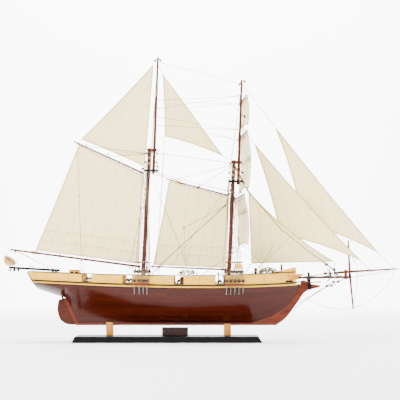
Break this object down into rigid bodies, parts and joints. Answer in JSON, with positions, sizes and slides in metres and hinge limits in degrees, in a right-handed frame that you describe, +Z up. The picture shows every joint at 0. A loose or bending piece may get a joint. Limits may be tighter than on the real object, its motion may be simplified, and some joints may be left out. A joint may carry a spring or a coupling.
{
  "type": "model sailing ship",
  "caption": "Wooden model topsail schooner with cloth sails, square and fore-and-aft yards that swing, a hinged rudder and a display stand with keel posts.",
  "frame": {"origin": "centre of the base board's underside", "axes": "+X to the bow, +Y to port, +Z up"},
  "size_m": [0.9218, 0.2595, 0.6656],
  "materials": {
    "mahogany": "gloss varnished mahogany",
    "stem_wood": "gloss varnished bright mahogany",
    "spar_wood": "satin stained wood",
    "boxwood": "satin pale wood",
    "post_wood": "satin pale wood",
    "deck_wood": "matt planked wood",
    "black_paint": "satin black paint on wood",
    "channel_wood": "satin stained wood",
    "plaque_wood": "satin dark wood",
    "sailcloth": "matt cotton cloth",
    "dark_rope": "matt twisted cord",
    "anchor_iron": "blackened metal"
  },
  "bodies": {
    "ship": {"anchor": "anchor_iron", "base_board": "black_paint", "bow_bitts": "black_paint", "bowsprit": "spar_wood", "bowsprit_cap": "stem_wood", "bulwark_port": "boxwood", "bulwark_starboard": "boxwood", "cabin": "boxwood", "cap_rail_port": "black_paint", "cap_rail_starboard": "black_paint", "cathead_port": "stem_wood", "cathead_starboard": "stem_wood", "davits": "black_paint", "deck": "deck_wood", "flying_jib": "sailcloth", "fore_channel_port": "channel_wood", "fore_channel_starboard": "channel_wood", "fore_lower_mast": "spar_wood", "fore_mast_cap": "spar_wood", "fore_mast_crosstrees": "black_paint", "fore_shrouds_port": "dark_rope", "fore_shrouds_starboard": "dark_rope", "fore_staysail": "sailcloth", "fore_topmast": "spar_wood", "hatch": "boxwood", "hull": "mahogany", "jib": "sailcloth", "jib_boom": "spar_wood", "keel_and_stem": "stem_wood", "main_channel_port": "channel_wood", "main_channel_starboard": "channel_wood", "main_lower_mast": "spar_wood", "main_mast_cap": "spar_wood", "main_mast_crosstrees": "black_paint", "main_shrouds_port": "dark_rope", "main_shrouds_starboard": "dark_rope", "main_topmast": "spar_wood", "main_topmast_staysail": "sailcloth", "name_plaque": "plaque_wood", "stand_post_aft": "post_wood", "stand_post_fore": "post_wood", "stern_boat": "boxwood", "transom": "mahogany", "wale_port": "black_paint", "wale_starboard": "black_paint"},
    "rudder_body": {"rudder": "mahogany"},
    "main_boom_body": {"main_boom": "spar_wood", "main_gaff": "spar_wood", "mainsail": "sailcloth", "main_gaff_topsail": "sailcloth"},
    "fore_boom_body": {"fore_boom": "spar_wood", "fore_gaff": "spar_wood", "fore_sail": "sailcloth"},
    "course_body": {"course_yard": "spar_wood", "course": "sailcloth"},
    "topsail_body": {"topsail_yard": "spar_wood", "topsail": "sailcloth"},
    "topgallant_body": {"topgallant_yard": "spar_wood", "topgallant_sail": "sailcloth"},
    "spritsail_body": {"spritsail_yard": "spar_wood"}
  },
  "joints": [
    {"name": "rudder_turn", "type": "hinge", "parent": "ship", "child": "rudder_body", "pos_m": [-0.2173, 0, 0.041], "axis": [-0.4132, 0, 0.9106], "range_deg": [-30, 30]},
    {"name": "main_boom_swing", "type": "hinge", "parent": "ship", "child": "main_boom_body", "pos_m": [-0.05561, 0, 0.18], "axis": [0.0534, 0, 0.9986], "range_deg": [-15, 15]},
    {"name": "fore_boom_swing", "type": "hinge", "parent": "ship", "child": "fore_boom_body", "pos_m": [0.14491, 0, 0.17], "axis": [0.0434, 0, 0.9991], "range_deg": [-12, 12]},
    {"name": "course_brace", "type": "hinge", "parent": "ship", "child": "course_body", "pos_m": [0.15217, 0, 0.337], "axis": [0.0434, 0, 0.9991], "range_deg": [-6, 6]},
    {"name": "topsail_brace", "type": "hinge", "parent": "ship", "child": "topsail_body", "pos_m": [0.16947, 0, 0.482], "axis": [0.0348, 0, 0.9994], "range_deg": [-6, 6]},
    {"name": "topgallant_brace", "type": "hinge", "parent": "ship", "child": "topgallant_body", "pos_m": [0.1724, 0, 0.566], "axis": [0.0348, 0, 0.9994], "range_deg": [-6, 6]},
    {"name": "spritsail_swing", "type": "hinge", "parent": "ship", "child": "spritsail_body", "pos_m": [0.428, 0, 0.154], "axis": [1, 0, 0], "range_deg": [-30, 0]}
  ],
  "couplings": [
    {"joint": "topsail_brace", "follows": "course_brace", "ratio": 1},
    {"joint": "topgallant_brace", "follows": "course_brace", "ratio": 1}
  ]
}
